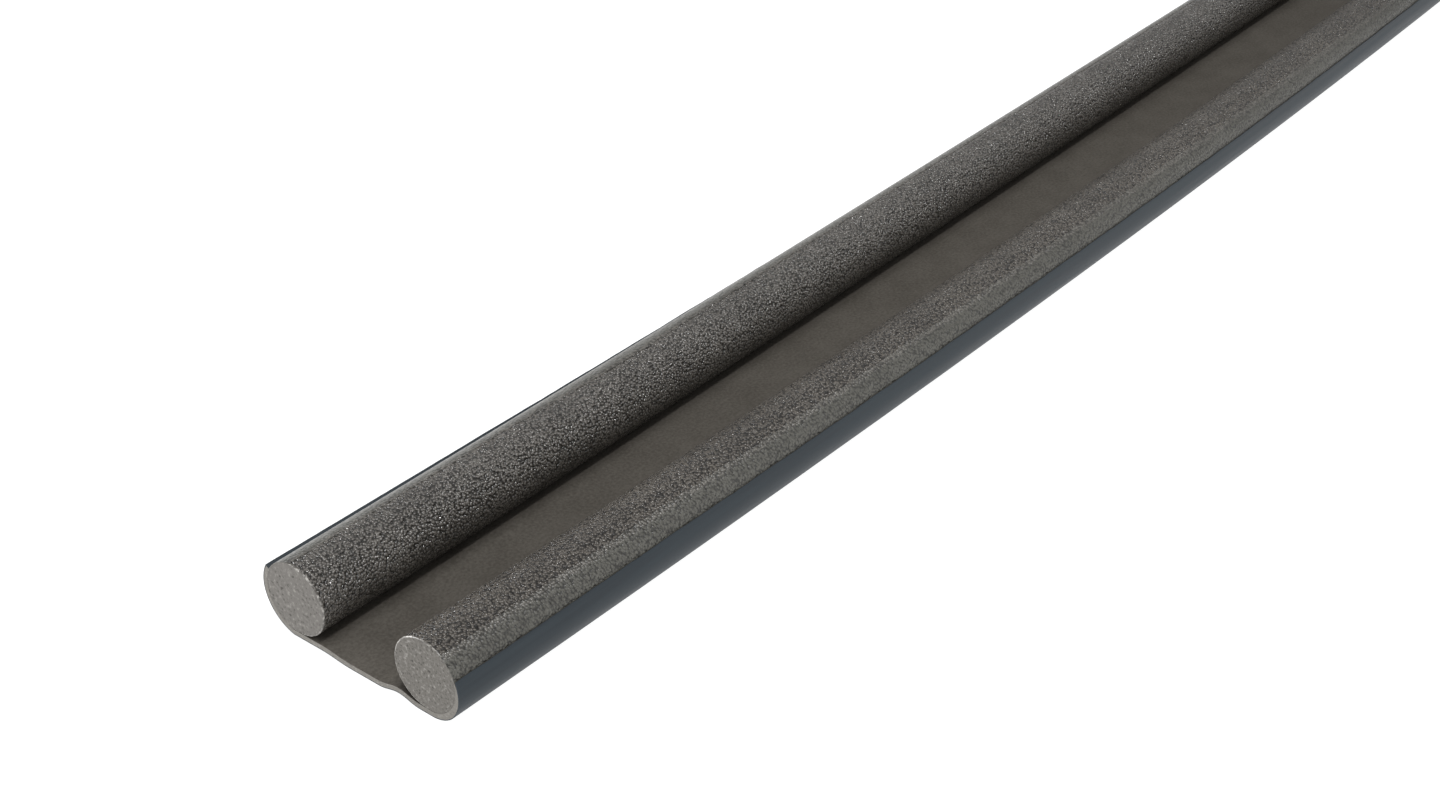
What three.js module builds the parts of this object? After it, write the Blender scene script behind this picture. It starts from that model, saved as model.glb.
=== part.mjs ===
// A draught excluder for the foot of a door, lying on the floor.
//
// Two round foam rolls lie side by side in one wide strip of thin foam sheet. The sheet passes
// under both rolls and up their outer sides. A smooth film covers its outside but for a margin along
// both edges, so that the strip slides on the floor. The foot of the door stands on the sheet,
// between the rolls.
//
// Millimetres, +Z up. X runs along the strip and Y across it, from the front roll to the back
// roll. The origin is on the floor, under the middle of the strip.

import * as THREE from 'three';

// Driving sizes
const STRIP_LENGTH = 950;
const ROLL_RADIUS = 12.5;
const SHEET_THICKNESS = 1.0;
const FILM_THICKNESS = 1.0;
const PIECE_GAP = 0.3;

// The rolls settle this far into their own weight, which makes the flats they lie on
const SETTLE = 0.4;

// The whole strip lies in a slight curve, which bends its middle towards the front
const BOW = 4.8;

// Both ends are cut a little askew: the shift along the strip for each millimetre across it
const END_SLANT = 0.038;

// The sheet reaches further up each roll than the film does, by these angles in degrees
const SHEET_MARGIN = { back: 64, front: 40 };
const FILM_MARGIN = { back: 0, front: 0 };

// Low ridges of the sheet beside each roll: distance from the roll's axis and half width
const RIDGE_DISTANCE = 12.5;
const RIDGE_HALF_WIDTH = 8.5;

// How the strip lies, a row for each place along it. Station is the distance from the near end,
// spacing the distance between the roll axes. The edges are where the film ends on the outside
// of each roll, in degrees above the level of the axis. The lifts are heights above the floor:
// of the back roll, and of the sheet's ridges beside the back and the front roll.
const LIE = [
  { station: 0, spacing: 57.1, backEdge: 30, frontEdge: 15, backLift: 1.0, backRidge: 0.3, frontRidge: 1.7 },
  { station: 80, spacing: 59.4, backEdge: 28, frontEdge: 16, backLift: 0.4, backRidge: 0.4, frontRidge: 1.5 },
  { station: 160, spacing: 61.3, backEdge: 24, frontEdge: 14, backLift: 0, backRidge: 0.3, frontRidge: 1.2 },
  { station: 320, spacing: 64.1, backEdge: 17, frontEdge: 13, backLift: 0, backRidge: 0.2, frontRidge: 0.9 },
  { station: 480, spacing: 65.3, backEdge: 13, frontEdge: 11, backLift: 0, backRidge: 0.3, frontRidge: 1.0 },
  { station: 640, spacing: 65.0, backEdge: 13, frontEdge: 12, backLift: 0, backRidge: 0.4, frontRidge: 0.8 },
  { station: 800, spacing: 63.2, backEdge: 17, frontEdge: 14, backLift: 0, backRidge: 0.3, frontRidge: 1.1 },
  { station: 950, spacing: 60.2, backEdge: 24, frontEdge: 15, backLift: 0, backRidge: 0.3, frontRidge: 1.4 },
];

// How finely the round shapes are divided
const STEPS_ALONG = 19;
const STEPS_ROLL = 28;
const STEPS_WRAP = 16;
const STEPS_WEB = 20;

// Radii of the layers about a roll's axis, from the inside out
const SHEET_INNER = ROLL_RADIUS + PIECE_GAP;
const SHEET_OUTER = SHEET_INNER + SHEET_THICKNESS;
const FILM_INNER = SHEET_OUTER + PIECE_GAP;
const FILM_OUTER = FILM_INNER + FILM_THICKNESS;
const AXIS_HEIGHT = FILM_OUTER - SETTLE;

const FOAM_ROLL = { color: 0x63605b, roughness: 0.95, metalness: 0 };
const FOAM_SHEET = { color: 0x57534f, roughness: 0.9, metalness: 0 };
const GLIDE_FILM = { color: 0x4a5157, roughness: 0.45, metalness: 0 };

// One smooth curve through each column of the table
const COLUMNS = Object.keys(LIE[0]).filter((column) => column !== 'station');
const lieCurves = new THREE.CubicInterpolant(
  LIE.map((row) => row.station),
  LIE.flatMap((row) => COLUMNS.map((column) => row[column])),
  COLUMNS.length,
);

// How the strip lies at one station: the table's columns there, and the two roll axes.
function lieAt(station) {
  const values = lieCurves.evaluate(station);
  const row = Object.fromEntries(COLUMNS.map((column, i) => [column, values[i]]));
  const fromMiddle = (2 * station) / STRIP_LENGTH - 1;
  const centre = -BOW * (1 - fromMiddle ** 2);
  row.x = station - STRIP_LENGTH / 2;
  row.backLift = Math.max(row.backLift, 0);
  row.frontAxis = centre - row.spacing / 2;
  row.backAxis = centre + row.spacing / 2;
  return row;
}

const stations = Array.from({ length: STEPS_ALONG + 1 }, (_, i) => (STRIP_LENGTH * i) / STEPS_ALONG);
const lies = stations.map(lieAt);

// The strip is moved across so that its outline is centred on the origin
const frontmost = Math.min(...lies.map((row) => row.frontAxis)) - FILM_OUTER;
const backmost = Math.max(...lies.map((row) => row.backAxis)) + FILM_OUTER;
const ACROSS = -(frontmost + backmost) / 2;
for (const row of lies) {
  row.frontAxis += ACROSS;
  row.backAxis += ACROSS;
}

// The ends slant about this line, which keeps the strip's two outermost corners equally far out
const slantLine = (lies[0].frontAxis + lies.at(-1).backAxis) / 2;

// A layer's height above the floor where it lies flat.
function layerFloor(radius) {
  return FILM_OUTER - radius;
}

// The angle from straight down to the edge of the flat on a layer of this radius.
function flatAngle(radius) {
  return Math.acos((radius - SETTLE) / radius);
}

// A smooth ridge, 1 at its crest and 0 at its feet.
function ridge(distance) {
  const reach = Math.min(Math.abs(distance) / RIDGE_HALF_WIDTH, 1);
  return (1 + Math.cos(Math.PI * reach)) / 2;
}

// Points of a round stretch about an axis, with angles measured from +Y.
function arc(axisY, axisZ, radius, from, to, steps) {
  return Array.from({ length: steps + 1 }, (_, i) => {
    const angle = THREE.MathUtils.lerp(from, to, i / steps);
    return new THREE.Vector2(axisY + radius * Math.cos(angle), axisZ + radius * Math.sin(angle));
  });
}

// One face of the sheet or film across the strip: down the back roll, along the floor with its
// low ridges, and up the front roll. On each roll it ends a margin beyond the film's edge.
function wrapPath(row, radius, margin) {
  const down = -Math.PI / 2;
  const flat = flatAngle(radius);
  const backEdge = THREE.MathUtils.degToRad(row.backEdge + margin.back);
  const frontEdge = -Math.PI - THREE.MathUtils.degToRad(row.frontEdge + margin.front);
  const back = arc(row.backAxis, AXIS_HEIGHT + row.backLift, radius, backEdge, down + flat, STEPS_WRAP);
  const front = arc(row.frontAxis, AXIS_HEIGHT, radius, down - flat, frontEdge, STEPS_WRAP);

  const webBack = row.backAxis - radius * Math.sin(flat);
  const webFront = row.frontAxis + radius * Math.sin(flat);
  const web = Array.from({ length: STEPS_WEB + 1 }, (_, i) => {
    const y = THREE.MathUtils.lerp(webBack, webFront, i / STEPS_WEB);
    const fromBack = row.backAxis - y;
    const fromFront = y - row.frontAxis;
    const settled = THREE.MathUtils.smoothstep(fromBack, radius * Math.sin(flat), 2 * RIDGE_DISTANCE);
    const backRise = row.backLift * (1 - settled) + row.backRidge * ridge(fromBack - RIDGE_DISTANCE);
    const frontRise = row.frontRidge * ridge(fromFront - RIDGE_DISTANCE);
    return new THREE.Vector2(y, layerFloor(radius) + backRise + frontRise);
  });
  return [...back, ...web, ...front];
}

// The closed outline of the sheet or film at one place along the strip.
function wrapOutline(row, innerRadius, outerRadius, margin) {
  return [...wrapPath(row, innerRadius, margin).reverse(), ...wrapPath(row, outerRadius, margin)];
}

// The closed outline of a roll, round with a flat underneath.
function rollOutline(axisY, lift) {
  const down = -Math.PI / 2;
  const flat = flatAngle(ROLL_RADIUS);
  return arc(axisY, AXIS_HEIGHT + lift, ROLL_RADIUS, down - flat, down - 2 * Math.PI + flat, STEPS_ROLL);
}

// A closed solid through one outline for each place along the strip, with flat ends.
function loft(outlines) {
  const around = outlines[0].length;
  const positions = outlines.flatMap((outline, i) =>
    outline.flatMap((point) => [lies[i].x + END_SLANT * (point.x - slantLine), point.x, point.y]),
  );
  const indices = [];
  for (let i = 0; i < outlines.length - 1; i += 1) {
    for (let j = 0; j < around; j += 1) {
      const here = i * around + j;
      const beside = i * around + ((j + 1) % around);
      indices.push(here, here + around, beside + around);
      indices.push(here, beside + around, beside);
    }
  }
  const lastRing = (outlines.length - 1) * around;
  for (const [a, b, c] of THREE.ShapeUtils.triangulateShape(outlines[0], [])) {
    indices.push(a, c, b);
  }
  for (const [a, b, c] of THREE.ShapeUtils.triangulateShape(outlines.at(-1), [])) {
    indices.push(lastRing + a, lastRing + b, lastRing + c);
  }
  const geometry = new THREE.BufferGeometry();
  geometry.setAttribute('position', new THREE.Float32BufferAttribute(positions, 3));
  geometry.setIndex(indices);
  geometry.computeVertexNormals();
  return geometry;
}

// A named piece lofted through the outlines that it has along the strip.
function piece(name, finish, outlineOf) {
  const outlines = lies.map((row) => outlineOf(row));
  const mesh = new THREE.Mesh(loft(outlines), new THREE.MeshStandardMaterial(finish));
  mesh.name = name;
  return mesh;
}

const draughtExcluder = new THREE.Group();
draughtExcluder.add(
  piece('foam_roll_front', FOAM_ROLL, (row) => rollOutline(row.frontAxis, 0)),
  piece('foam_roll_back', FOAM_ROLL, (row) => rollOutline(row.backAxis, row.backLift)),
  piece('foam_sheet', FOAM_SHEET, (row) => wrapOutline(row, SHEET_INNER, SHEET_OUTER, SHEET_MARGIN)),
  piece('outer_film', GLIDE_FILM, (row) => wrapOutline(row, FILM_INNER, FILM_OUTER, FILM_MARGIN)),
);

export default draughtExcluder;
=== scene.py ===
"""Looks of a foam draught excluder strip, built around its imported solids.

Two round foam rolls lie side by side in one wide strip of thin foam sheet. A smooth film covers
the outside of the sheet but for a margin along both edges. The places of the pieces are read from
the solids, so that every visible piece lies where its solid lies. All sizes are in metres, with X
along the strip, Y across it towards the back roll and Z up.
"""

from __future__ import annotations

import logging
import math
from collections.abc import Callable
from dataclasses import dataclass
from enum import Enum
from functools import partial
from typing import ClassVar

import bpy
import numpy as np
from bpy.types import Material, Node, NodeSocket, NodeTree, Object
from mathutils import Matrix, Vector, noise

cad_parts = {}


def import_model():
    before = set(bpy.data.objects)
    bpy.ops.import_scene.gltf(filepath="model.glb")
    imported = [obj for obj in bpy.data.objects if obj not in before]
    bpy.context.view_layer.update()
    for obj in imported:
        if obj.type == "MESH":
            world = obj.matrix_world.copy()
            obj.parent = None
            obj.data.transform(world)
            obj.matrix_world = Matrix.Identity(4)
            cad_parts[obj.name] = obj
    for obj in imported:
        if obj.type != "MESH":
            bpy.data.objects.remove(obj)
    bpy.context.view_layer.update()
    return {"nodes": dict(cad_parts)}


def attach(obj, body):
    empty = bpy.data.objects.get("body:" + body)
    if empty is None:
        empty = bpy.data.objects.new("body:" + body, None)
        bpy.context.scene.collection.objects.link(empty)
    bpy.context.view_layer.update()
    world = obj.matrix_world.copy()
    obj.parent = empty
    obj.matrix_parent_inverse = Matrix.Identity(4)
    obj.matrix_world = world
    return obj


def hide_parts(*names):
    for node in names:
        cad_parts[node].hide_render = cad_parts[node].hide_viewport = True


LOG = logging.getLogger("draught_excluder")

MM = 0.001
BODY = "root"

# Radius of the rolls among the solids
SOLID_ROLL_RADIUS = 12.5 * MM

# Sizes of the visible pieces, as radii about a roll's axis and as thicknesses
ROLL_RADIUS = 13.0 * MM
SHEET_BED = 13.02 * MM
SHEET_THICKNESS = 1.68 * MM
FILM_THICKNESS = 0.3 * MM
OUTER_RADIUS = SHEET_BED + SHEET_THICKNESS + FILM_THICKNESS

# How deep the rolls settle, so that the strip's outside lies flat on the floor
SETTLE = 0.3 * MM

# Both ends are cut a little askew: the shift along the strip for each metre across it
END_SLANT = 0.038

# Edges sharper than this show as edges
SHARP_ANGLE = math.radians(50)

# How strongly polyethylene bends light
POLYETHYLENE_IOR = 1.5

Colour = tuple[float, float, float, float]
Place = tuple[float, float, float]
FaceList = list[tuple[int, ...]]
AddNode = Callable[[str, dict, dict], Node]


class Zone(Enum):
    """Stretches of a thin layer that look different."""

    BROAD = "broad"
    FRONT_MARGIN = "front margin"
    BACK_MARGIN = "back margin"
    # The sheet's frayed edge, whose paler flecks are painted glints
    FRAYED = "frayed"
    CUT = "cut"


class Side(Enum):
    """The two rolls, as seen from the camera."""

    FRONT = "front"
    BACK = "back"

    @property
    def out(self) -> int:
        """Sign of the direction across the strip that leads away from the other roll."""
        return 1 if self is Side.BACK else -1


class Seed(Enum):
    """Offsets that give each unevenness a stretch of the noise of its own."""

    LUMPS = 0.0
    PITS = 3.0
    FILM_EDGE = 5.0
    PEBBLES = 7.0
    SHEET_EDGE = 9.0
    ROUND_WAVE = 11.0
    RIM_RAG = 13.0
    WEB_WAVE = 17.0
    SHEET_RAG = 21.0
    FILM_RAG = 25.0


def linear(colour: str) -> Colour:
    """Turn an sRGB hex colour into linear values.

    Args:
        colour: Six hex digits after a hash.

    Returns:
        Red, green, blue and an alpha of 1.
    """
    values = [int(colour[i : i + 2], 16) / 255 for i in (1, 3, 5)]
    red, green, blue = (v / 12.92 if v <= 0.04045 else ((v + 0.055) / 1.055) ** 2.4 for v in values)
    return red, green, blue, 1.0


def per_metre(size_mm: float) -> float:
    """Texture scale that gives features of this size in millimetres."""
    return 1 / (size_mm * MM)


def smooth_through(places: np.ndarray, values: np.ndarray, at: np.ndarray) -> np.ndarray:
    """Read a smooth curve through values that are known at some places.

    Args:
        places: Rising places where the values are known.
        values: One value, or one row of values, for each place.
        at: Places to read the curve at.

    Returns:
        One value or row for each place in at.
    """
    slopes = np.gradient(values, places, axis=0)
    i = np.clip(np.searchsorted(places, at) - 1, 0, len(places) - 2)
    shape = (-1,) + (1,) * (values.ndim - 1)
    width = (places[i + 1] - places[i]).reshape(shape)
    t = ((at - places[i]) / (places[i + 1] - places[i])).reshape(shape)
    start = (2 * t**3 - 3 * t**2 + 1) * values[i] + (t**3 - 2 * t**2 + t) * width * slopes[i]
    end = (3 * t**2 - 2 * t**3) * values[i + 1] + (t**3 - t**2) * width * slopes[i + 1]
    return start + end


def ripple(places: np.ndarray, size: float, seed: Seed) -> np.ndarray:
    """Smooth noise over points in space.

    Args:
        places: Points, with their three coordinates on the last axis.
        size: Width of a bump.
        seed: Which stretch of the noise to read.

    Returns:
        One value from about -1 to 1 for each point.
    """
    rows = places.reshape(-1, 3) / size + (seed.value, 0.0, 0.0)
    return np.array([noise.noise(Vector(row)) for row in rows]).reshape(places.shape[:-1])


def ease(values: np.ndarray, low: float, high: float) -> np.ndarray:
    """Rise smoothly from 0 to 1.

    Args:
        values: Values to read.
        low: Value where the rise starts.
        high: Value where it ends, which may be the lower one.

    Returns:
        A share from 0 to 1 for each value.
    """
    t = np.clip((values - low) / (high - low), 0, 1)
    return t * t * (3 - 2 * t)


def slanted(points: np.ndarray, share: float = 1.0) -> np.ndarray:
    """Shift points along the strip, as the askew cut of its ends asks.

    Args:
        points: Points in rows of three.
        share: 1 to slant them, or -1 to set slanted points square again.

    Returns:
        The shifted points.
    """
    return points + share * np.outer(points[:, 1], (END_SLANT, 0, 0))


@dataclass(frozen=True)
class Lie:
    """How the strip lies on the floor, at some stations along it.

    The axes are the rolls' places across and above the floor. The edges are where the film and the
    sheet end on the outside of each roll, as angles above the level of the axis. The web rise is
    the height of the strip's underside between the two axes, from the front one to the back one.
    """

    # How many readings the web rise has at each station
    READINGS: ClassVar[int] = 25

    # How close a point lies to its station, and how close two points lie that count as one place
    SAME_STATION: ClassVar[float] = 0.1 * MM
    SAME_PLACE: ClassVar[float] = 1.0 * MM

    # How far past the two axes the underside is read
    BESIDE_AXIS: ClassVar[float] = 4.0 * MM

    stations: np.ndarray
    axis: dict[Side, np.ndarray]
    height: dict[Side, np.ndarray]
    film_edge: dict[Side, np.ndarray]
    sheet_edge: dict[Side, np.ndarray]
    web_rise: np.ndarray

    @classmethod
    def from_frame(cls, nodes: dict[str, Object]) -> Lie:
        """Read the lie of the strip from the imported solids.

        Args:
            nodes: The solids by their node names.

        Returns:
            The lie at each station of the solids.
        """
        points = {}
        for name, node in nodes.items():
            points[name] = slanted(np.array([v.co for v in node.data.vertices]), -1.0)
        along = np.sort(points["foam_roll_front"][:, 0])
        stations = along[np.insert(np.diff(along) > cls.SAME_PLACE, 0, True)]
        rings = {name: [cls._ring(place, x) for x in stations] for name, place in points.items()}
        axis, height, film_edge, sheet_edge = {}, {}, {}, {}
        for side in Side:
            roll = rings[f"foam_roll_{side.value}"]
            axis[side] = np.array([(ring[:, 0].min() + ring[:, 0].max()) / 2 for ring in roll])
            height[side] = np.array([ring[:, 1].max() - SOLID_ROLL_RADIUS for ring in roll])
            axes = list(zip(axis[side], height[side]))
            film_edge[side] = cls._edges(rings["outer_film"], axes, side)
            sheet_edge[side] = cls._edges(rings["foam_sheet"], axes, side)
        spans = zip(rings["outer_film"], axis[Side.FRONT], axis[Side.BACK])
        rises = np.array([cls._underside(ring, front, back) for ring, front, back in spans])
        return cls(stations, axis, height, film_edge, sheet_edge, rises)

    @classmethod
    def _ring(cls, points: np.ndarray, x: float) -> np.ndarray:
        """The places across and above the floor of a solid's points at one station."""
        return points[np.abs(points[:, 0] - x) < cls.SAME_STATION][:, 1:]

    @staticmethod
    def _edges(rings: list[np.ndarray], axes: list[tuple[float, float]], side: Side) -> np.ndarray:
        """Find where a layer ends on the outside of a roll.

        Args:
            rings: The layer's points across and above the floor, at each station.
            axes: The roll's axis at each station.
            side: The roll.

        Returns:
            The angle above the level of the axis at each station.
        """
        angles = []
        for ring, (y, z) in zip(rings, axes):
            beyond = (ring - (y, z)) * (side.out, 1)
            beyond = beyond[beyond[:, 0] > 0]
            angles.append(np.arctan2(beyond[:, 1], beyond[:, 0]).max())
        return np.array(angles)

    @classmethod
    def _underside(cls, ring: np.ndarray, front: float, back: float) -> np.ndarray:
        """Read the height of a ring's underside between the two axes.

        Args:
            ring: Points across and above the floor.
            front: Place of the front axis.
            back: Place of the back axis.

        Returns:
            Heights at even steps from the front axis to the back one.
        """
        inside = (ring[:, 0] > front - cls.BESIDE_AXIS) & (ring[:, 0] < back + cls.BESIDE_AXIS)
        between = ring[inside]
        low = []
        for y, z in between:
            beside = between[np.abs(between[:, 0] - y) < cls.SAME_PLACE]
            if z <= beside[:, 1].min():
                low.append((y, z))
        ys, zs = np.array(sorted(low)).T
        return np.interp(np.linspace(front, back, cls.READINGS), ys, zs)

    def at(self, x: np.ndarray) -> Lie:
        """Read the same lie at other stations.

        Args:
            x: The stations to read it at.

        Returns:
            The lie there.
        """

        def read(values: np.ndarray) -> np.ndarray:
            """Values at the new stations."""
            return smooth_through(self.stations, values, x)

        by_side = (self.axis, self.height, self.film_edge, self.sheet_edge)
        read_by_side = [{side: read(values) for side, values in by.items()} for by in by_side]
        return Lie(x, *read_by_side, read(self.web_rise))


def loft_faces(rings: int, around: int) -> FaceList:
    """Faces of a tube through rings of points.

    Args:
        rings: How many rings there are.
        around: How many points each ring has, clockwise as seen from +X.

    Returns:
        Four point numbers for each face, facing out, ring by ring.
    """
    faces = []
    for i in range(rings - 1):
        for j in range(around):
            here = i * around + j
            beside = i * around + (j + 1) % around
            faces.append((here, here + around, beside + around, beside))
    return faces


def mesh_object(name: str, points: np.ndarray, groups: list[tuple[Material, FaceList]]) -> Object:
    """Make a mesh object from points and from faces grouped by their material.

    Args:
        name: Name of the object.
        points: Points in rows of three.
        groups: A material and the faces that wear it, for each group.

    Returns:
        The object, linked to the scene.
    """
    mesh = bpy.data.meshes.new(name)
    faces = [face for _, group in groups for face in group]
    mesh.from_pydata(points.tolist(), [], faces)
    for material, _ in groups:
        mesh.materials.append(material)
    numbers = [i for i, (_, group) in enumerate(groups) for _ in group]
    mesh.polygons.foreach_set("material_index", numbers)
    mesh.shade_smooth()
    mesh.set_sharp_from_angle(angle=SHARP_ANGLE)
    mesh.update()
    piece = bpy.data.objects.new(name, mesh)
    bpy.context.scene.collection.objects.link(piece)
    return piece


def add_node(tree: NodeTree, kind: str, settings: dict, links: dict) -> Node:
    """Add a shader node with its settings and links.

    Args:
        tree: Node tree that gets the node.
        kind: Blender's name for the kind of node, without the ShaderNode in front.
        settings: Values by the name of a property, or the name or number of an input. A ramp's
            stops are places from 0 to 1 with hex colours.
        links: Output sockets by the name or number of the input that they feed.

    Returns:
        The new node.
    """
    node = tree.nodes.new(f"ShaderNode{kind}")
    for key, value in settings.items():
        if key == "stops":
            elements = node.color_ramp.elements
            for _ in value[len(elements) :]:
                elements.new(1.0)
            for element, (place, colour) in zip(elements, value):
                element.position = place
                element.color = linear(colour)
        elif isinstance(key, str) and hasattr(node, key):
            setattr(node, key, value)
        else:
            node.inputs[key].default_value = value
    for key, socket in links.items():
        tree.links.new(socket, node.inputs[key])
    return node


class Finish:
    """What all finishes share: a material with one shader, read at places on the object."""

    name: str

    def start(self) -> tuple[Material, AddNode, NodeSocket]:
        """Make an empty material.

        Returns:
            The material, the function that adds its nodes, and the socket with the place on the object.
        """
        material = bpy.data.materials.new(self.name)
        material.use_nodes = True
        material.node_tree.nodes.clear()
        add = partial(add_node, material.node_tree)
        return material, add, add("TexCoord", {}, {}).outputs["Object"]

    def end(self, add: AddNode, settings: dict, links: dict) -> None:
        """Add the shader and the material's output.

        Args:
            add: The function that adds the material's nodes.
            settings: The shader's constant values.
            links: The sockets that feed its other inputs.
        """
        shader = add("BsdfPrincipled", settings, links)
        add("OutputMaterial", {}, {"Surface": shader.outputs["BSDF"]})

    def material(self) -> Material:
        """Build the nodes, each finish in its own way."""
        raise NotImplementedError


@dataclass(frozen=True)
class PebbledSkin(Finish):
    """Polyethylene foam with the skin it gets in the extruder, or a thin sheet pressed on that skin.

    The skin is a bed of small pebbles, the outer walls of its cells. Each pebble is a low dome with
    a soft gloss, so the domes glint where they face a light. The colour follows the relief: the pits
    between the domes are painted darker, as painted shade, and the dome tops lighter, partly as a
    painted highlight. The pebbles are drawn a little coarser than they are, so that they show.
    """

    # Height of a dome's top, and its fall for the square of the way from the top
    DOME_TOP: ClassVar[float] = 0.8
    DOME_FALL: ClassVar[float] = 1.3

    # Shares of the grain in the relief, of the patches in the tone, and of the tone on its scale
    GRAIN_SHARE: ClassVar[float] = 0.7
    PATCH_SHARE: ClassVar[float] = 0.35
    TONE_SHARE: ClassVar[float] = 0.7

    # Where the shaded pit, the body and the lit crest lie on the scale of tones: low relief takes painted
    # shade and high relief a painted highlight
    TONES: ClassVar[tuple[float, ...]] = (0.48, 0.7, 0.95)

    name: str = "extruded_polyethylene_foam_skin"
    # The pit colour is painted shade in the pits, and the crest colour is partly a painted highlight on the
    # dome tops
    pit: str = "#1f1c18"
    body: str = "#48443f"
    lit_crest: str = "#6c6863"
    gloss: tuple[float, float] = (0.12, 0.32)
    shine: float = 1.0
    depth_mm: float = 0.55
    pebble_mm: float = 0.9
    grain_mm: float = 1.0
    patch_mm: float = 18.0

    def material(self) -> Material:
        """Build the nodes.

        Returns:
            The finished material.
        """
        material, add, places = self.start()
        pebbles = add("TexVoronoi", {"Scale": per_metre(self.pebble_mm)}, {"Vector": places})
        grain = add("TexNoise", {"Scale": per_metre(self.grain_mm), "Detail": 1.0}, {"Vector": places})
        patches = add("TexNoise", {"Scale": per_metre(self.patch_mm)}, {"Vector": places})
        bowl = add("Math", {"operation": "POWER", 1: 2.0}, {0: pebbles.outputs["Distance"]})
        domes = add(
            "Math",
            {"operation": "MULTIPLY_ADD", 1: -self.DOME_FALL, 2: self.DOME_TOP},
            {0: bowl.outputs[0]},
        )
        relief = add(
            "Math",
            {"operation": "MULTIPLY_ADD", 1: self.GRAIN_SHARE},
            {0: grain.outputs["Fac"], 2: domes.outputs[0]},
        )
        # The tone follows the relief, so the pits take painted shade and the dome tops a painted highlight
        tint = add(
            "Math",
            {"operation": "MULTIPLY_ADD", 1: self.PATCH_SHARE},
            {0: patches.outputs["Fac"], 2: relief.outputs[0]},
        )
        tone = add("Math", {"operation": "MULTIPLY", 1: self.TONE_SHARE}, {0: tint.outputs[0]})
        stops = list(zip(self.TONES, (self.pit, self.body, self.lit_crest)))
        ramp = add("ValToRGB", {"stops": stops}, {"Fac": tone.outputs[0]})
        smooth, rough = self.gloss
        gloss = add(
            "MapRange",
            {"From Min": 0.2, "From Max": 0.8, "To Min": smooth, "To Max": rough},
            {"Value": pebbles.outputs["Color"]},
        )
        bump = add("Bump", {"Strength": 1.0, "Distance": self.depth_mm * MM}, {"Height": relief.outputs[0]})
        self.end(
            add,
            {"IOR": POLYETHYLENE_IOR, "Specular IOR Level": self.shine},
            {
                "Base Color": ramp.outputs["Color"],
                "Roughness": gloss.outputs[0],
                "Normal": bump.outputs["Normal"],
            },
        )
        return material


@dataclass(frozen=True)
class CutCells(Finish):
    """Polyethylene foam where a blade has cut through its cells.

    The cut shows open cells with thin pale walls, so it is lighter than the skin, mottled and quite
    dull. The insides of the cells, where the relief is low, are painted dark as painted shade. The
    cells are drawn a little coarser than they are, so that they show.
    """

    # Share of the cells in the relief
    CELL_SHARE: ClassVar[float] = 0.35

    # Where the shaded pit, both ends of the body's tone and the wall lie on the scale of tones; the pit is
    # painted shade inside the open cells
    TONES: ClassVar[tuple[float, ...]] = (0.42, 0.6, 0.75, 0.9)

    name: str
    # Colour of the painted shade inside the open cells
    pit: str
    body: str
    wall: str
    cell_mm: float
    speck_mm: float
    depth_mm: float

    def material(self) -> Material:
        """Build the nodes.

        Returns:
            The finished material.
        """
        material, add, places = self.start()
        cells = add("TexVoronoi", {"Scale": per_metre(self.cell_mm)}, {"Vector": places})
        specks = add(
            "TexNoise",
            {"Scale": per_metre(self.speck_mm), "Detail": 4.0, "Roughness": 0.75},
            {"Vector": places},
        )
        relief = add(
            "Math",
            {"operation": "MULTIPLY_ADD", 1: self.CELL_SHARE},
            {0: cells.outputs["Distance"], 2: specks.outputs["Fac"]},
        )
        stops = list(zip(self.TONES, (self.pit, self.body, self.body, self.wall)))
        ramp = add("ValToRGB", {"stops": stops}, {"Fac": relief.outputs[0]})
        bump = add("Bump", {"Strength": 0.8, "Distance": self.depth_mm * MM}, {"Height": relief.outputs[0]})
        self.end(
            add,
            {"IOR": POLYETHYLENE_IOR, "Specular IOR Level": 0.35, "Roughness": 0.8},
            {"Base Color": ramp.outputs["Color"], "Normal": bump.outputs["Normal"]},
        )
        return material


@dataclass(frozen=True)
class RimWithPaintedGlints(Finish):
    """Polyethylene foam skin that the blade has pressed and drawn over at the cut's rim.

    The pressed cells lie flat and close, so the rim is smoother and glossier than the skin. Its paler
    tone is partly a painted highlight, and its bright flecks are painted glints where light catches the
    rim.
    """

    # Where the skin and the painted glints lie on the scale of tones
    TONES: ClassVar[tuple[float, ...]] = (0.45, 0.68)

    name: str = "blade_pressed_foam_rim_with_painted_glints"
    skin: str = "#55514c"
    # Colour of the painted glints where light catches the rim
    painted_glint: str = "#b4b1ab"
    painted_glint_mm: float = 1.4
    depth_mm: float = 0.2

    def material(self) -> Material:
        """Build the nodes.

        Returns:
            The finished material.
        """
        material, add, places = self.start()
        painted_glints = add("TexNoise", {"Scale": per_metre(self.painted_glint_mm), "Roughness": 0.6}, {"Vector": places})
        stops = list(zip(self.TONES, (self.skin, self.painted_glint)))
        ramp = add("ValToRGB", {"stops": stops}, {"Fac": painted_glints.outputs["Fac"]})
        bump = add(
            "Bump",
            {"Strength": 0.6, "Distance": self.depth_mm * MM},
            {"Height": painted_glints.outputs["Fac"]},
        )
        self.end(
            add,
            {"IOR": POLYETHYLENE_IOR, "Specular IOR Level": 0.8, "Roughness": 0.35},
            {"Base Color": ramp.outputs["Color"], "Normal": bump.outputs["Normal"]},
        )
        return material


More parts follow.
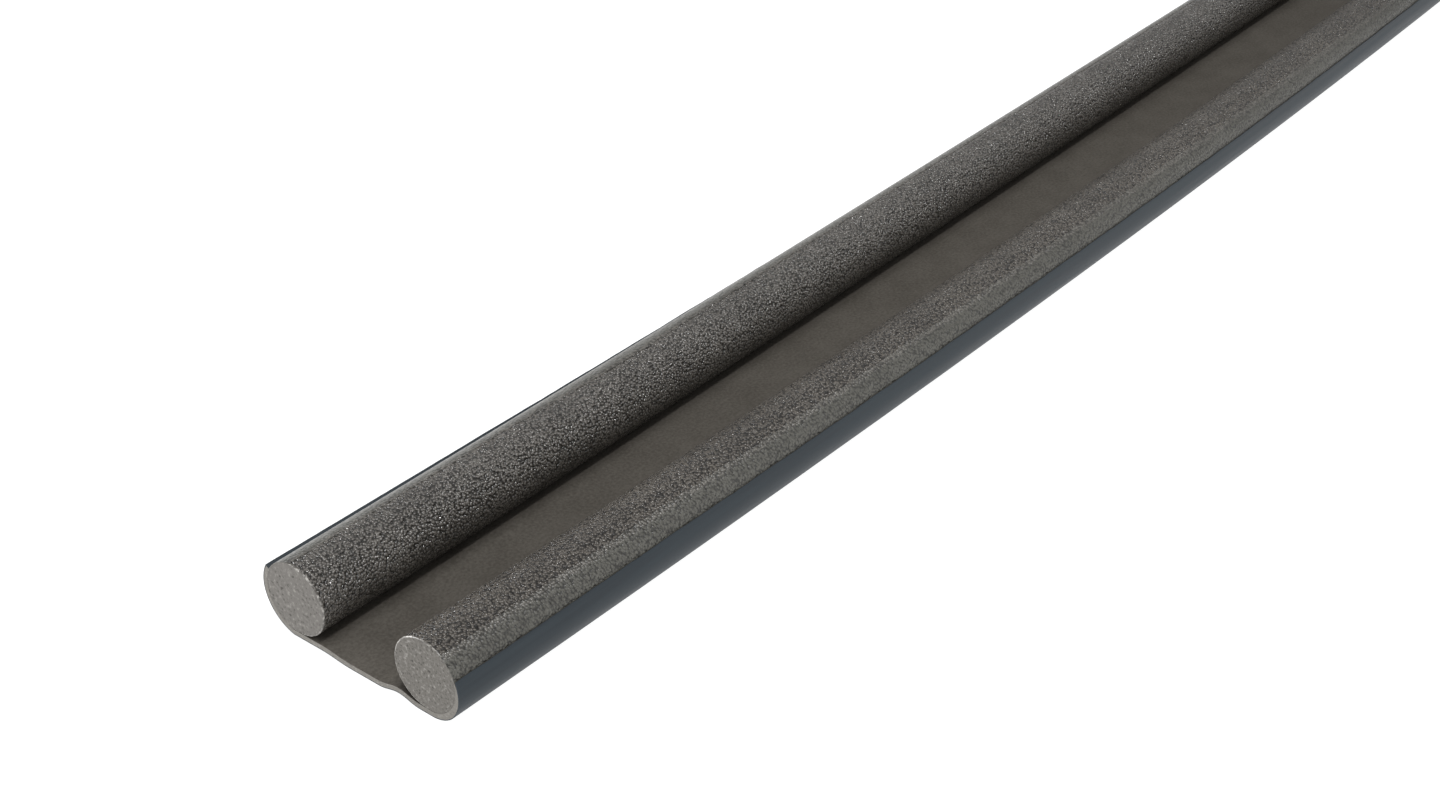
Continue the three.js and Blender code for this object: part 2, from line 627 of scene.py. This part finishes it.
@dataclass(frozen=True)
class FineSheet(Finish):
    """Thin polyethylene foam sheet with closed, fine cells.

    The sheet is smooth and matt, with a soft cloudy tone and a faint grain. Its cells are drawn
    twice as coarse as they are, so that they show.
    """

    # How far either side of the middle tone the two colours lie
    TONE_SPAN: ClassVar[float] = 0.2

    name: str = "fine_celled_polyethylene_foam_sheet"
    deep: str = "#433f39"
    body: str = "#54504a"
    cell_mm: float = 1.1
    cloud_mm: float = 14.0
    cloud_share: float = 0.5
    depth_mm: float = 0.12

    def material(self) -> Material:
        """Build the nodes.

        Returns:
            The finished material.
        """
        material, add, places = self.start()
        cells = add("TexNoise", {"Scale": per_metre(self.cell_mm), "Roughness": 0.6}, {"Vector": places})
        clouds = add("TexNoise", {"Scale": per_metre(self.cloud_mm), "Detail": 3.0}, {"Vector": places})
        tone = add(
            "Math",
            {"operation": "MULTIPLY_ADD", 1: self.cloud_share},
            {0: clouds.outputs["Fac"], 2: cells.outputs["Fac"]},
        )
        middle = 0.5 + 0.5 * self.cloud_share
        stops = [(middle - self.TONE_SPAN, self.deep), (middle + self.TONE_SPAN, self.body)]
        ramp = add("ValToRGB", {"stops": stops}, {"Fac": tone.outputs[0]})
        bump = add(
            "Bump",
            {"Strength": 0.6, "Distance": self.depth_mm * MM},
            {"Height": cells.outputs["Fac"]},
        )
        self.end(
            add,
            {"IOR": POLYETHYLENE_IOR, "Specular IOR Level": 0.3, "Roughness": 0.75},
            {"Base Color": ramp.outputs["Color"], "Normal": bump.outputs["Normal"]},
        )
        return material


@dataclass(frozen=True)
class SatinFilm(Finish):
    """Plastic film laminated to the foam sheet.

    The film is smooth and has a satin gloss. The foam under it shows as a faint unevenness, and
    long streaks from the laminating rollers run along it.
    """

    # Where the two colours lie on the scale of tones
    TONES: ClassVar[tuple[float, ...]] = (0.35, 0.65)

    name: str = "laminated_polyethylene_film"
    deep: str = "#30363b"
    body: str = "#353c41"
    gloss: tuple[float, float] = (0.42, 0.52)
    shine: float = 0.13
    streak_mm: float = 2.2
    streak_length: float = 40.0
    dimple_mm: float = 2.5
    depth_mm: float = 0.05

    def material(self) -> Material:
        """Build the nodes.

        Returns:
            The finished material.
        """
        material, add, places = self.start()
        drawn = add("Mapping", {"Scale": (1 / self.streak_length, 1.0, 1.0)}, {"Vector": places})
        streaks = add("TexNoise", {"Scale": per_metre(self.streak_mm)}, {"Vector": drawn.outputs["Vector"]})
        dimples = add("TexNoise", {"Scale": per_metre(self.dimple_mm)}, {"Vector": places})
        stops = list(zip(self.TONES, (self.deep, self.body)))
        ramp = add("ValToRGB", {"stops": stops}, {"Fac": streaks.outputs["Fac"]})
        smooth, rough = self.gloss
        gloss = add(
            "MapRange",
            {"From Min": 0.3, "From Max": 0.7, "To Min": smooth, "To Max": rough},
            {"Value": streaks.outputs["Fac"]},
        )
        bump = add(
            "Bump",
            {"Strength": 0.5, "Distance": self.depth_mm * MM},
            {"Height": dimples.outputs["Fac"]},
        )
        self.end(
            add,
            {"IOR": POLYETHYLENE_IOR, "Specular IOR Level": self.shine},
            {
                "Base Color": ramp.outputs["Color"],
                "Roughness": gloss.outputs[0],
                "Normal": bump.outputs["Normal"],
            },
        )
        return material


@dataclass(frozen=True)
class PaleFloor(Finish):
    """Matt white board on a light table, which glows, so that shadows stay faint."""

    name: str = "matt_white_board"
    board: str = "#808080"
    glow: float = 0.97

    def material(self) -> Material:
        """Build the nodes.

        Returns:
            The finished material.
        """
        material, add, _ = self.start()
        settings = {
            "Base Color": linear(self.board),
            "Roughness": 0.9,
            "Emission Color": linear("#ffffff"),
            "Emission Strength": self.glow,
        }
        self.end(add, settings, {})
        return material


# The two rolls' skins. The front one is painted darker, as painted shade, and is duller, so it glints less.
BRIGHT_SKIN = PebbledSkin()
# A darker copy of the same skin: painted shade on the front roll, and rougher so that it glints less
DULL_SHADED_SKIN = PebbledSkin(
    name="dull_foam_skin_with_painted_shade",
    pit="#1d1a17",
    body="#433e38",
    lit_crest="#605b54",
    gloss=(0.22, 0.4),
    shine=0.7,
)

# The rolls' cut ends. The front one is torn deeper, so its open cells take darker specks of painted shade.
COARSE_CUT = CutCells(
    name="coarse_knife_cut_foam",
    pit="#292623",
    body="#64615c",
    wall="#878480",
    cell_mm=1.0,
    speck_mm=1.1,
    depth_mm=0.3,
)
CLEAN_CUT = CutCells(
    name="clean_knife_cut_foam",
    pit="#34312c",
    body="#676460",
    wall="#827f7a",
    cell_mm=1.2,
    speck_mm=1.5,
    depth_mm=0.2,
)

# The thin sheet is smooth between the rolls. Its margins take on the pebbles that they are pressed
# on, but softer and duller. The front margin is painted a little darker, as painted shade, and the
# back one a little lighter, as painted light where the back rim catches the light from behind. Their
# edges carry paler flecks, which are painted glints. Its cut is pale and even.
SHEET_FINISHES: dict[Zone, Finish] = {
    Zone.BROAD: FineSheet(),
    # Painted a little darker than the back margin, as painted shade
    Zone.FRONT_MARGIN: PebbledSkin(
        name="dull_foam_sheet_on_pebbles_with_painted_shade",
        pit="#292824",
        body="#474640",
        lit_crest="#585751",
        gloss=(0.38, 0.5),
        shine=0.6,
        depth_mm=0.24,
    ),
    # Painted a little lighter than the front margin, as painted light on the back rim
    Zone.BACK_MARGIN: PebbledSkin(
        name="foam_sheet_on_pebbles_with_painted_rim_light",
        pit="#2f2e2a",
        body="#4a4943",
        lit_crest="#5a5953",
        gloss=(0.28, 0.4),
        depth_mm=0.16,
    ),
    # Its paler crests are painted glints along the sheet's edge
    Zone.FRAYED: PebbledSkin(
        name="frayed_sheet_edge_with_painted_glints",
        pit="#2a2823",
        body="#47443e",
        lit_crest="#6b6862",
        gloss=(0.3, 0.45),
        shine=0.8,
        depth_mm=0.3,
    ),
    Zone.CUT: CutCells(
        name="knife_cut_foam_sheet",
        pit="#605d58",
        body="#73706b",
        wall="#86837e",
        cell_mm=0.8,
        speck_mm=1.2,
        depth_mm=0.08,
    ),
}


@dataclass
class FoamRoll:
    """One round foam roll with knife-cut ends.

    Where the sheet covers it, the roll is even and its rims keep only a share of their rounding. It
    grows bare over an angle past the sheet's edge.
    """

    side: Side
    slot: str = "roll_foam"
    step: float = 1.0 * MM
    sides: int = 88
    cap_rings: int = 22
    rim: float = 0.45 * MM
    rim_rings: int = 4
    covered_rim: float = 0.12
    bare_past: float = math.radians(20)
    rag_size: float = 1.1 * MM
    rag_depth: float = 0.22 * MM
    lump_size: float = 7.0 * MM
    lump_depth: float = 0.08 * MM
    pebble_size: float = 2.2 * MM
    pebble_depth: float = 0.1 * MM
    pit_size: float = 1.1 * MM
    pit_depth: float = 0.15 * MM

    @property
    def node(self) -> str:
        """Name of the solid that this roll stands for."""
        return f"foam_roll_{self.side.value}"

    def build(self, lie: Lie, skin: Material, cut: Material, rim: Material) -> Object:
        """Args:
            lie: How the strip lies.
            skin: Material of the round surface.
            cut: Material of the two cut ends.
            rim: Material of the rims of the ends.

        Returns:
            The roll.
        """
        x, shrink = self._rings(lie.stations[0], lie.stations[-1])
        here = lie.at(x)
        points = self._surface(here, shrink).reshape(-1, 3)
        around = loft_faces(len(x), self.sides)
        rim_faces = (self.rim_rings - 1) * self.sides
        edges = around[:rim_faces] + around[-rim_faces:]
        ends: FaceList = []
        for end in (0, len(x) - 1):
            points, faces = self._cap(points, here, end)
            ends += faces
        groups = [(skin, around[rim_faces:-rim_faces]), (cut, ends), (rim, edges)]
        roll = mesh_object(f"{self.node}_foam", slanted(points), groups)
        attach(roll, BODY)
        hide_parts(self.node)
        return roll

    def _rings(self, low: float, high: float) -> tuple[np.ndarray, np.ndarray]:
        """Place the rings along the roll, with rounded rims at both ends.

        Args:
            low: Place of the near end.
            high: Place of the far end.

        Returns:
            The places, and how much narrower than the roll each ring is.
        """
        turn = np.linspace(0, math.pi / 2, self.rim_rings)
        into = self.rim * (1 - np.cos(turn))
        narrow = self.rim * (1 - np.sin(turn))
        middle = np.linspace(low, high, round((high - low) / self.step) + 1)[1:-1]
        x = np.concatenate([low + into, middle, high - into[::-1]])
        return x, np.concatenate([narrow, np.zeros(len(middle)), narrow[::-1]])

    def _bare(self, here: Lie, angles: np.ndarray) -> np.ndarray:
        """Tell how far the roll shows at each angle.

        Args:
            here: How the strip lies, for the sheet's edge.
            angles: Angles about the axis, from +Y towards +Z.

        Returns:
            1 where the roll is bare and 0 where the sheet lies on it, for each station and angle.
        """
        from_outside = angles if self.side is Side.BACK else math.pi - angles
        from_outside = np.mod(from_outside + math.pi / 2, 2 * math.pi) - math.pi / 2
        edge = here.sheet_edge[self.side][:, None]
        above = ease(from_outside[None, :] - edge, 0, self.bare_past)
        past_bottom = ease(from_outside[None, :] + math.pi / 2, self.bare_past, 0)
        return np.maximum(above, np.where(from_outside[None, :] > edge, 0, past_bottom))

    def _surface(self, here: Lie, shrink: np.ndarray) -> np.ndarray:
        """Place the points of the round surface, with its lumps, pebbles and ragged rims.

        Args:
            here: How the strip lies at each ring.
            shrink: How much narrower than the roll each ring is.

        Returns:
            Points for each ring and angle, flat where the roll lies.
        """
        angles = -2 * math.pi * np.arange(self.sides) / self.sides
        y0, z0 = here.axis[self.side][:, None], here.height[self.side][:, None]
        across, up = np.cos(angles)[None, :], np.sin(angles)[None, :]
        bare = self._bare(here, angles)
        rounding = shrink[:, None] * (self.covered_rim + (1 - self.covered_rim) * bare)
        radius = ROLL_RADIUS - rounding
        along = np.broadcast_to(here.stations[:, None], radius.shape)
        places = np.stack([along, y0 + radius * across, z0 + radius * up], axis=-1)
        lumps = self.lump_depth * (0.5 - 0.5 * ripple(places, self.lump_size, Seed.LUMPS))
        pebbles = self.pebble_depth * (0.5 - 0.5 * ripple(places, self.pebble_size, Seed.PEBBLES))
        radius = radius - bare * (lumps + pebbles)
        rag = self.rag_depth * np.clip(ripple(places, self.rag_size, Seed.RIM_RAG), 0, 1)
        inward = np.sign(here.stations.mean() - here.stations)[:, None]
        along = along + inward * rag * bare * shrink[:, None] / self.rim
        heights = np.maximum(z0 + radius * up, z0 - (ROLL_RADIUS - SETTLE))
        return np.stack([along, y0 + radius * across, heights], axis=-1)

    def _cap(self, points: np.ndarray, here: Lie, end: int) -> tuple[np.ndarray, FaceList]:
        """Close one end with a cut face.

        Args:
            points: The points so far, which start with the rings of the round surface.
            here: How the strip lies at each ring.
            end: Number of the ring at this end.

        Returns:
            All the points, and the faces of this end.
        """
        rim_start = end * self.sides
        rim = points[rim_start : rim_start + self.sides]
        centre = np.array([here.stations[end], here.axis[self.side][end], here.height[self.side][end]])
        shares = np.linspace(1, 0, self.cap_rings + 1)[1:-1]
        rings = np.concatenate([centre + (rim - centre) * share for share in shares] + [centre[None, :]])
        pits = self.pit_depth * np.clip(ripple(rings, self.pit_size, Seed.PITS), 0, 1)
        rings[:, 0] += pits if end == 0 else -pits
        starts = [rim_start] + [len(points) + i * self.sides for i in range(len(shares))]
        middle = len(points) + len(shares) * self.sides
        faces: FaceList = []
        for outer, inner in zip(starts, starts[1:]):
            for j in range(self.sides):
                k = (j + 1) % self.sides
                faces.append((outer + j, outer + k, inner + k, inner + j))
        for j in range(self.sides):
            faces.append((starts[-1] + j, starts[-1] + (j + 1) % self.sides, middle))
        if end > 0:
            faces = [face[::-1] for face in faces]
        return np.concatenate([points, rings]), faces


@dataclass(frozen=True)
class Depth:
    """How far outside the rolls a face lies, in thicknesses of the foam sheet and of the film."""

    foam: float
    film: float

    def radius(self, pressed: np.ndarray | float = 1.0) -> np.ndarray | float:
        """Distance from the roll's axis, where the foam is pressed to a share of its thickness."""
        return SHEET_BED + self.foam * SHEET_THICKNESS * pressed + self.film * FILM_THICKNESS


@dataclass
class StripPath:
    """The way of the sheet and the film across the strip, at some stations along it.

    On the front roll the sheet is fuller low down and pressed thin towards the film's edge. Past
    the film's edges it is thin on both rolls, down to a feather at its own edges. Full, thin and
    feather are shares of its thickness. The pressing and the film's lift start at shares of the way
    up to the film's edge.
    """

    lie: Lie
    arc_points: int = 22
    margin_points: int = 10
    web_points: int = 44
    lip_points: int = 4
    full: float = 1.3
    thin_from: float = 0.35
    thin: float = 0.16
    feather: float = 0.03
    press_power: float = 1.3
    lift_from: float = 0.85
    lip_root: Depth = Depth(1.0, 0.1)
    wave_size: float = 22.0 * MM
    wave: float = 0.06 * MM
    edge_size: float = 16.0 * MM
    edge_wave: float = 0.25 * MM
    rag_size: float = 4.0 * MM
    film_rag: float = 0.2 * MM
    sheet_rag: float = 0.8 * MM

    def film_edge(self, side: Side, rise: float) -> np.ndarray:
        """Find the angle of the film's edge.

        Args:
            side: The roll.
            rise: How much further the layer reaches than the film's own edge.

        Returns:
            The angle above the level of the axis at each station, as a column.
        """
        along = self.lie.stations
        places = np.stack([along, 0 * along, 0 * along], axis=1)
        wander = self.edge_wave * ripple(places, self.edge_size, Seed.FILM_EDGE)
        wander += self.film_rag * ripple(places, self.rag_size, Seed.FILM_RAG)
        return (self.lie.film_edge[side] + (rise + wander) / OUTER_RADIUS)[:, None]

    def sheet_edge(self, side: Side) -> np.ndarray:
        """Find the angle of the sheet's own edge, a little ragged.

        Args:
            side: The roll.

        Returns:
            The angle above the level of the axis at each station, as a column.
        """
        along = self.lie.stations
        places = np.stack([along, 0 * along, 0 * along + side.out], axis=1)
        wander = self.edge_wave * ripple(places, self.edge_size, Seed.SHEET_EDGE)
        wander += self.sheet_rag * ripple(places, self.rag_size, Seed.SHEET_RAG)
        return (self.lie.sheet_edge[side] + wander / OUTER_RADIUS)[:, None]

    def _round(self, side: Side, radius: np.ndarray, angle: np.ndarray) -> np.ndarray:
        """Points about a roll's axis.

        Args:
            side: The roll.
            radius: Distances from the axis.
            angle: Angles above the level of the axis, on the outside of the roll.

        Returns:
            Points for each station and angle.
        """
        y = self.lie.axis[side][:, None] + side.out * radius * np.cos(angle)
        z = self.lie.height[side][:, None] + radius * np.sin(angle)
        x = np.broadcast_to(self.lie.stations[:, None], y.shape)
        return np.stack([x, y, z], axis=-1)

    def under_roll(self, side: Side, depth: Depth, rise: float = 0.0, lift: float = 0.0) -> np.ndarray:
        """Points round one roll, from the flat underneath up to the film's edge.

        Args:
            side: The roll.
            depth: Which face this is.
            rise: How much further than the film's own edge it reaches.
            lift: How far its edge stands off.

        Returns:
            Points for each station and place across.
        """
        share = np.linspace(0, 1, self.arc_points)[None, :]
        pressed = np.ones_like(share)
        if side is Side.FRONT:
            swelling = np.sin(math.pi / 2 * np.clip(share / self.thin_from, 0, 1))
            pressing = np.clip((share - self.thin_from) / (1 - self.thin_from), 0, 1) ** self.press_power
            pressed = 1 + (self.full - 1) * swelling - (self.full - self.thin) * pressing
        radius = depth.radius(pressed) + lift * ease(share, self.lift_from, 1.0)
        flat = np.arccos((radius[:, :1] - SETTLE) / radius[:, :1])
        start = flat - math.pi / 2
        angle = start + (self.film_edge(side, rise) - start) * share
        points = self._round(side, radius, angle)
        swell = self.wave * ripple(points, self.wave_size, Seed.ROUND_WAVE) * np.sin(math.pi * share)
        points[..., 1] += side.out * swell * np.cos(angle)
        return points

    def margin(self, side: Side, depth: Depth) -> np.ndarray:
        """Points on the sheet's bare margin, from the film's edge up to the sheet's own edge.

        Args:
            side: The roll.
            depth: Which face this is.

        Returns:
            Points for each station and place across.
        """
        share = np.linspace(0, 1, self.margin_points)[None, :]
        radius = depth.radius(self.thin + (self.feather - self.thin) * share)
        start = self.film_edge(side, 0.0)
        return self._round(side, radius, start + (self.sheet_edge(side) - start) * share)

    def lip(self, depth: Depth, rise: float) -> np.ndarray:
        """Points where the film turns in over the step in the sheet on the back roll.

        Args:
            depth: Which face of the film this is.
            rise: How much further than the film's own edge it reaches.

        Returns:
            Points for each station, from the sheet's margin outwards.
        """
        inner = self.lip_root.radius(self.thin)
        radius = np.linspace(inner, depth.radius(), self.lip_points)[None, :-1]
        return self._round(Side.BACK, radius, self.film_edge(Side.BACK, rise))

    def web(self, depth: Depth) -> np.ndarray:
        """Points along the floor between the two rolls, from the back flat to the front flat.

        Args:
            depth: Which face this is.

        Returns:
            Points for each station and place across.
        """
        radius = depth.radius()
        half_flat = math.sqrt(radius**2 - (radius - SETTLE) ** 2)
        across = np.linspace(0, 1, self.web_points)[None, :]
        front_axis = self.lie.axis[Side.FRONT][:, None]
        back_axis = self.lie.axis[Side.BACK][:, None]
        back, front = back_axis - half_flat, front_axis + half_flat
        y = back + (front - back) * across
        readings = np.linspace(0, 1, Lie.READINGS)
        shares = (y - front_axis) / (back_axis - front_axis)
        rows = zip(self.lie.web_rise, shares)
        rise = np.array([smooth_through(readings, row, share) for row, share in rows])
        x = np.broadcast_to(self.lie.stations[:, None], y.shape)
        swell = 1 + ripple(np.stack([x, y, 0 * y], axis=-1), self.wave_size, Seed.WEB_WAVE)
        free = np.sin(math.pi * across) ** 2
        z = OUTER_RADIUS - radius + np.maximum(rise, 0) + 2 * self.wave * free * swell
        return np.stack([x, y, z], axis=-1)


@dataclass
class Layer:
    """A thin layer of the strip: down the back roll, along the floor and up the front roll."""

    name: ClassVar[str]
    node: ClassVar[str]
    slot: ClassVar[str]
    inner: ClassVar[Depth]
    outer: ClassVar[Depth]

    step: float = 2.4 * MM

    def across(self, path: StripPath, depth: Depth) -> np.ndarray:
        """Points of one face, for each station and place across the strip."""
        raise NotImplementedError

    def zones(self, path: StripPath, steps: int) -> list[Zone]:
        """The zone of each step across the strip, from the back edge to the front one."""
        return [Zone.BROAD] * steps

    def build(self, lie: Lie, finishes: dict[Zone, Material]) -> Object:
        """Args:
            lie: How the strip lies.
            finishes: A material for each zone that the layer has.

        Returns:
            The layer.
        """
        low, high = lie.stations[0], lie.stations[-1]
        x = np.linspace(low, high, round((high - low) / self.step) + 1)
        path = StripPath(lie.at(x))
        inside, outside = self.across(path, self.inner), self.across(path, self.outer)
        rings = np.concatenate([inside[:, ::-1], outside], axis=1)
        rings[..., 2] = np.maximum(rings[..., 2], 0)
        count = inside.shape[1]
        around = 2 * count
        zones = self.zones(path, count - 1)
        zones_around = zones[::-1] + [Zone.CUT] + zones + [Zone.CUT]
        faces: dict[Zone, FaceList] = {zone: [] for zone in finishes}
        for number, face in enumerate(loft_faces(len(x), around)):
            faces[zones_around[number % around]].append(face)
        last = (len(x) - 1) * around
        for j in range(count - 1):
            face = (count - 1 - j, count - 2 - j, count + j + 1, count + j)
            faces[Zone.CUT].append(face)
            faces[Zone.CUT].append(tuple(last + k for k in face[::-1]))
        groups = [(finish, faces[zone]) for zone, finish in finishes.items()]
        layer = mesh_object(self.name, slanted(rings.reshape(-1, 3)), groups)
        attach(layer, BODY)
        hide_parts(self.node)
        return layer


@dataclass
class FoamSheet(Layer):
    """The thin foam sheet, with its bare margins on both rolls."""

    name: ClassVar[str] = "thin_foam_sheet"
    node: ClassVar[str] = "foam_sheet"
    slot: ClassVar[str] = "sheet_foam"
    inner: ClassVar[Depth] = Depth(0.0, 0.0)
    outer: ClassVar[Depth] = Depth(1.0, 0.0)

    back_painted_glint_steps: int = 1
    front_painted_glint_steps: int = 2

    def across(self, path: StripPath, depth: Depth) -> np.ndarray:
        """Join the stretches of one face.

        Args:
            path: The way across the strip.
            depth: Which face this is.

        Returns:
            Points for each station and place across the strip.
        """
        stretches = [
            path.margin(Side.BACK, depth)[:, ::-1],
            path.under_roll(Side.BACK, depth)[:, ::-1],
            path.web(depth),
            path.under_roll(Side.FRONT, depth),
            path.margin(Side.FRONT, depth),
        ]
        return np.concatenate(stretches, axis=1)

    def zones(self, path: StripPath, steps: int) -> list[Zone]:
        """Tell the margins and their frayed edges, whose pale flecks are painted glints, from the rest.

        Args:
            path: The way across the strip.
            steps: How many steps across there are.

        Returns:
            The zone of each step, from the back edge to the front one.
        """
        margin = path.margin_points
        back = [Zone.FRAYED] * self.back_painted_glint_steps + [Zone.BACK_MARGIN] * (margin - self.back_painted_glint_steps)
        front = [Zone.FRONT_MARGIN] * (margin - self.front_painted_glint_steps) + [Zone.FRAYED] * self.front_painted_glint_steps
        return back + [Zone.BROAD] * (steps - len(back) - len(front)) + front


@dataclass
class GlideFilm(Layer):
    """The smooth film on the outside of the sheet, which turns in over its step on the back roll."""

    name: ClassVar[str] = "glide_film"
    node: ClassVar[str] = "outer_film"
    slot: ClassVar[str] = "glide_film"
    inner: ClassVar[Depth] = Depth(1.0, 0.03)
    outer: ClassVar[Depth] = Depth(1.0, 1.0)

    edge_lift: float = 0.3 * MM

    def across(self, path: StripPath, depth: Depth) -> np.ndarray:
        """Join the stretches of one face.

        Args:
            path: The way across the strip.
            depth: Which face this is.

        Returns:
            Points for each station and place across the strip.
        """
        rise = depth.film * FILM_THICKNESS
        stretches = [
            path.lip(depth, rise),
            path.under_roll(Side.BACK, depth, rise)[:, ::-1],
            path.web(depth),
            path.under_roll(Side.FRONT, depth, lift=self.edge_lift),
        ]
        return np.concatenate(stretches, axis=1)


@dataclass(frozen=True)
class SoftLight:
    """A rectangular soft light that faces a target and may be narrowed by a grid."""

    name: str
    place: Place
    target: Place
    size: tuple[float, float]
    power: float
    spread: float = math.radians(180)

    def build(self) -> None:
        """Add the light to the scene."""
        light = bpy.data.lights.new(self.name, "AREA")
        light.shape = "RECTANGLE"
        light.size, light.size_y = self.size
        light.energy = self.power
        light.spread = self.spread
        lamp = bpy.data.objects.new(self.name, light)
        lamp.location = self.place
        aim = Vector(self.target) - Vector(self.place)
        lamp.rotation_euler = aim.to_track_quat("-Z", "Y").to_euler()
        bpy.context.scene.collection.objects.link(lamp)


@dataclass
class Studio:
    """Pale floor, soft light and the camera, whose angles are in degrees."""

    floor_width: float = 30.0
    floor_drop: float = 0.05 * MM
    room_light: float = 0.42
    lens_px: float = 2172.7
    frame_px: float = 1440.0
    sensor_mm: float = 36.0
    camera_place: Place = (-0.8266, -0.4054, 0.4136)
    camera_azimuth: float = 37.565
    camera_tilt: float = -31.032
    camera_roll: float = -0.354

    # Each light by its name, place, target and size in metres, and power in watts
    lights: tuple[SoftLight, ...] = (
        SoftLight("softbox_overhead", (-0.62, -0.2, 1.4), (-0.5, 0.0, 0.0), (0.5, 0.9), 8.0),
        SoftLight("small_spot_beyond", (0.0, -0.48, 1.3), (-0.35, 0.0, 0.0), (0.12, 0.12), 7.0),
        SoftLight("soft_fill_in_front", (0.2, -1.0, 0.8), (-0.2, 0.0, 0.02), (0.5, 0.5), 1.3),
        SoftLight(
            "low_wall_behind",
            (-0.9, 0.85, 0.16),
            (-0.45, 0.0, 0.02),
            (0.8, 0.25),
            2.5,
            spread=math.radians(80),
        ),
    )

    def build(self) -> None:
        """Build the floor, the lights and the camera."""
        self._floor()
        self._room()
        for light in self.lights:
            light.build()
        self._camera()

    def _floor(self) -> None:
        """Lay a wide pale floor."""
        half = self.floor_width / 2
        corners = [(-half, -half), (half, -half), (half, half), (-half, half)]
        points = np.array([(x, y, -self.floor_drop) for x, y in corners])
        floor = mesh_object("floor", points, [(PaleFloor().material(), [(0, 1, 2, 3)])])

    def _room(self) -> None:
        """Fill the room with even white light."""
        world = bpy.data.worlds.new("white_room")
        world.use_nodes = True
        background = world.node_tree.nodes["Background"]
        background.inputs["Color"].default_value = linear("#ffffff")
        background.inputs["Strength"].default_value = self.room_light
        bpy.context.scene.world = world
        bpy.context.scene.view_settings.view_transform = "Standard"

    def _camera(self) -> None:
        """Set the camera at the photograph's place and angle."""
        degrees = (self.camera_azimuth, self.camera_tilt, self.camera_roll)
        azimuth, tilt, roll = (math.radians(angle) for angle in degrees)
        heading = Vector((math.cos(azimuth), math.sin(azimuth), 0.0))
        ahead = heading * math.cos(tilt) + Vector((0.0, 0.0, math.sin(tilt)))
        level = Vector((math.sin(azimuth), -math.cos(azimuth), 0.0))
        right = level * math.cos(roll) + level.cross(ahead) * math.sin(roll)
        up = right.cross(ahead)
        data = bpy.data.cameras.new("camera")
        data.sensor_fit = "HORIZONTAL"
        data.sensor_width = self.sensor_mm
        data.lens = self.lens_px / self.frame_px * self.sensor_mm
        camera = bpy.data.objects.new("camera", data)
        turn = Matrix((right, up, -ahead)).transposed().to_4x4()
        camera.matrix_world = Matrix.Translation(self.camera_place) @ turn
        bpy.context.scene.collection.objects.link(camera)
        bpy.context.scene.camera = camera


def main() -> None:
    """Build the strip around its solids and set the scene."""
    logging.basicConfig(level=logging.INFO, format="%(name)s: %(message)s")
    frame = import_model()
    lie = Lie.from_frame(frame["nodes"])
    Studio().build()

    rim = RimWithPaintedGlints().material()
    film = SatinFilm().material()
    sheet = {zone: finish.material() for zone, finish in SHEET_FINISHES.items()}
    pieces = [
        FoamRoll(Side.FRONT).build(lie, DULL_SHADED_SKIN.material(), COARSE_CUT.material(), rim),
        FoamRoll(Side.BACK).build(lie, BRIGHT_SKIN.material(), CLEAN_CUT.material(), rim),
        FoamSheet().build(lie, sheet),
        GlideFilm().build(lie, {Zone.BROAD: film, Zone.CUT: film}),
    ]
    for piece in pieces:
        LOG.info("%s has %d faces", piece.name, len(piece.data.polygons))


if __name__ == "__main__":
    main()
